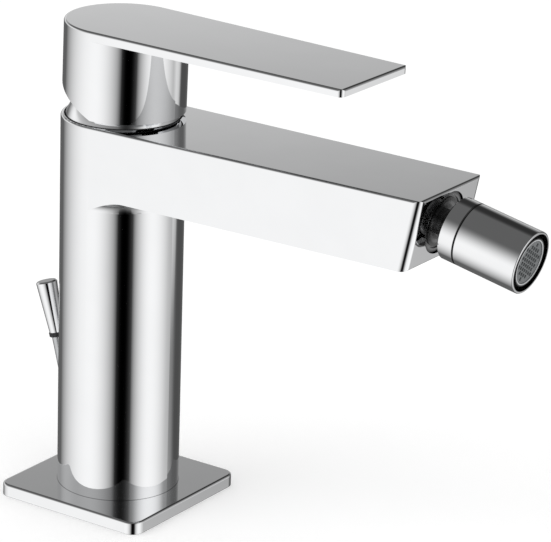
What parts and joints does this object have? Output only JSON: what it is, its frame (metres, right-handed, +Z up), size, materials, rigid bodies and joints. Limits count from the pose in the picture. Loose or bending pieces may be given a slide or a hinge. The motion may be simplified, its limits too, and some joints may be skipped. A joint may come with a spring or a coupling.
{
  "type": "bidet mixer",
  "caption": "Chrome single-lever bidet mixer for one deck hole, with a straight tapered spout, a ball-jointed aerator nozzle, a flat lever and a pop-up waste rod.",
  "frame": {"origin": "middle of the base plate's underside, on the deck", "axes": "+Z up from the deck, +X from the column towards the nozzle, +Y to the left when looking along +X"},
  "size_m": [0.1954, 0.0588, 0.1685],
  "materials": {
    "chrome": "polished",
    "steel": "satin",
    "plain_brass": "machined",
    "black_rubber": "matte",
    "white_plastic": "moulded",
    "blue_plastic": "moulded",
    "pale_plastic": "moulded",
    "grey_plastic": "moulded",
    "ceramic": "lapped ceramic"
  },
  "bodies": {
    "fixed": {"body_casting": "chrome", "base_plate": "chrome", "base_gasket": "black_rubber", "foot_connector": "plain_brass", "foot_seal": "black_rubber", "dome_cover": "chrome", "cartridge_nut": "plain_brass", "cartridge_housing": "white_plastic", "housing_seal": "black_rubber", "cartridge_base": "white_plastic", "cartridge_seals": "black_rubber", "fixed_disc": "ceramic", "ball_nipple": "chrome", "nipple_seal": "black_rubber", "rod_bush": "black_rubber"},
    "rotor": {"rotor": "blue_plastic", "stem_pin": "steel"},
    "lever": {"lever_handle": "chrome", "handle_screw": "steel", "screw_plug": "chrome", "lever_stem": "plain_brass"},
    "disc": {"disc_carrier": "blue_plastic", "moving_disc": "ceramic"},
    "nozzle_ring": {"ball_liner": "white_plastic"},
    "nozzle": {"swivel_collar": "chrome", "nozzle_sleeve": "chrome", "aerator_gasket": "black_rubber", "flow_insert": "blue_plastic", "aerator_housing": "pale_plastic", "aerator_screen": "grey_plastic"},
    "popup": {"popup_rod": "steel", "popup_knob": "chrome"}
  },
  "joints": [
    {"name": "lever_turn", "type": "hinge", "parent": "fixed", "child": "rotor", "pos_m": [0, 0, 0.128], "axis": [0, 0, 1], "range_deg": [-50, 50]},
    {"name": "lever_lift", "type": "hinge", "parent": "rotor", "child": "lever", "pos_m": [0, 0, 0.128], "axis": [0, -1, 0], "range_deg": [0, 22]},
    {"name": "disc_slide", "type": "slide", "parent": "rotor", "child": "disc", "axis": [1, 0, 0], "range_m": [0, 0.0055]},
    {"name": "nozzle_turn", "type": "hinge", "parent": "fixed", "child": "nozzle_ring", "pos_m": [0.13434, 0, 0.12249], "axis": [0.9796, 0, -0.2011], "continuous": true},
    {"name": "nozzle_tilt", "type": "hinge", "parent": "nozzle_ring", "child": "nozzle", "pos_m": [0.13434, 0, 0.12249], "axis": [0, 1, 0], "range_deg": [-15, 15]},
    {"name": "popup_lift", "type": "slide", "parent": "fixed", "child": "popup", "axis": [-0.2588, 0, 0.9659], "range_m": [0, 0.02]}
  ],
  "couplings": [
    {"joint": "disc_slide", "follows": "lever_lift", "m_per_rad": 0.013914}
  ]
}
